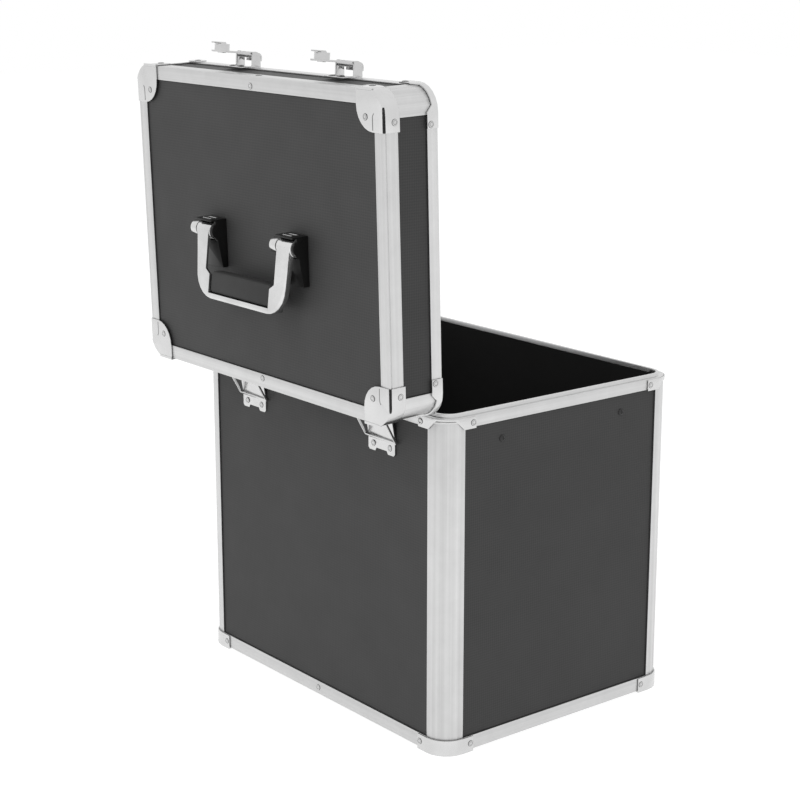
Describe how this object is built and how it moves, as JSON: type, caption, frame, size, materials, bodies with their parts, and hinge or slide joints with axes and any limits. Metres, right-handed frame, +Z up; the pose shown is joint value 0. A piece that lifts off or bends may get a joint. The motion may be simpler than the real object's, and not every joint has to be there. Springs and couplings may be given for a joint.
{
  "type": "lockable file box",
  "caption": "Aluminium framed lockable file box with black panels, a hinged lid standing open, key latches and a folding carry handle on the lid.",
  "frame": {"origin": "the middle of the base, on the plane that the four bottom corners stand on", "axes": "+Z up; -Y is the front of the closed case, where the latches close; +X is the right hand side seen from the front"},
  "size_m": [0.3646, 0.3546, 0.5946],
  "materials": {
    "aluminium": "fine lengthwise brushing",
    "chrome": "bright plated",
    "black_panel": "fine diamond weave",
    "black_lining": "felt",
    "black_plastic": "semi-gloss moulded",
    "grey_grip": "soft matt"
  },
  "bodies": {
    "body": {"front_panel": "black_panel", "back_panel": "black_panel", "left_panel": "black_panel", "right_panel": "black_panel", "floor_panel": "black_panel", "body_post_front_left": "aluminium", "body_post_front_right": "aluminium", "body_post_back_right": "aluminium", "body_post_back_left": "aluminium", "base_rail": "aluminium", "body_rim_rail": "aluminium", "base_corner_front_left": "chrome", "base_corner_front_right": "chrome", "base_corner_back_right": "chrome", "base_corner_back_left": "chrome", "body_rim_corner_front_left": "chrome", "body_rim_corner_front_right": "chrome", "body_rim_corner_back_right": "chrome", "body_rim_corner_back_left": "chrome", "body_lining": "black_lining", "file_rail_left": "aluminium", "file_rail_right": "aluminium", "hinge_body_leaf_left": "chrome", "hinge_body_leaf_right": "chrome", "hinge_pin_left": "chrome", "hinge_pin_right": "chrome", "latch_catch_left": "chrome", "latch_catch_right": "chrome"},
    "lid": {"lid_top_panel": "black_panel", "lid_front_panel": "black_panel", "lid_back_panel": "black_panel", "lid_left_panel": "black_panel", "lid_right_panel": "black_panel", "lid_rim_rail": "aluminium", "lid_post_front_left": "aluminium", "lid_post_front_right": "aluminium", "lid_post_back_right": "aluminium", "lid_post_back_left": "aluminium", "lid_top_rail": "aluminium", "lid_top_corner_front_left": "chrome", "lid_top_corner_front_right": "chrome", "lid_top_corner_back_right": "chrome", "lid_top_corner_back_left": "chrome", "lid_rim_corner_front_left": "chrome", "lid_rim_corner_front_right": "chrome", "lid_rim_corner_back_right": "chrome", "lid_rim_corner_back_left": "chrome", "lid_lining": "black_lining", "hinge_lid_leaf_left": "chrome", "hinge_lid_leaf_right": "chrome", "latch_base_left": "chrome", "latch_base_right": "chrome", "handle_mount_left": "black_plastic", "handle_mount_right": "black_plastic"},
    "handle": {"handle_bow": "chrome", "handle_grip": "grey_grip"},
    "lever_left": {"latch_lever_left": "chrome"},
    "lever_right": {"latch_lever_right": "chrome"},
    "lock_left": {"lock_barrel_left": "chrome"},
    "lock_right": {"lock_barrel_right": "chrome"}
  },
  "joints": [
    {"name": "lid_hinge", "type": "hinge", "parent": "body", "child": "lid", "pos_m": [0, 0.1374, 0.3], "axis": [1, 0, 0], "range_deg": [0, 91.6]},
    {"name": "handle_swing", "type": "hinge", "parent": "lid", "child": "handle", "pos_m": [0, 0.20097, 0.43408], "axis": [1, 0, 0], "range_deg": [0, 82]},
    {"name": "latch_left_lever", "type": "hinge", "parent": "lid", "child": "lever_left", "pos_m": [-0.073, 0.15058, 0.58214], "axis": [1, 0, 0], "range_deg": [0, 173]},
    {"name": "latch_right_lever", "type": "hinge", "parent": "lid", "child": "lever_right", "pos_m": [0.073, 0.15058, 0.58214], "axis": [1, 0, 0], "range_deg": [0, 173]},
    {"name": "left_lock", "type": "hinge", "parent": "lever_left", "child": "lock_left", "pos_m": [-0.073, 0.17647, 0.58459], "axis": [0, 0.0941, -0.9956], "range_deg": [0, 90]},
    {"name": "right_lock", "type": "hinge", "parent": "lever_right", "child": "lock_right", "pos_m": [0.073, 0.17647, 0.58459], "axis": [0, 0.0941, -0.9956], "range_deg": [0, 90]}
  ]
}
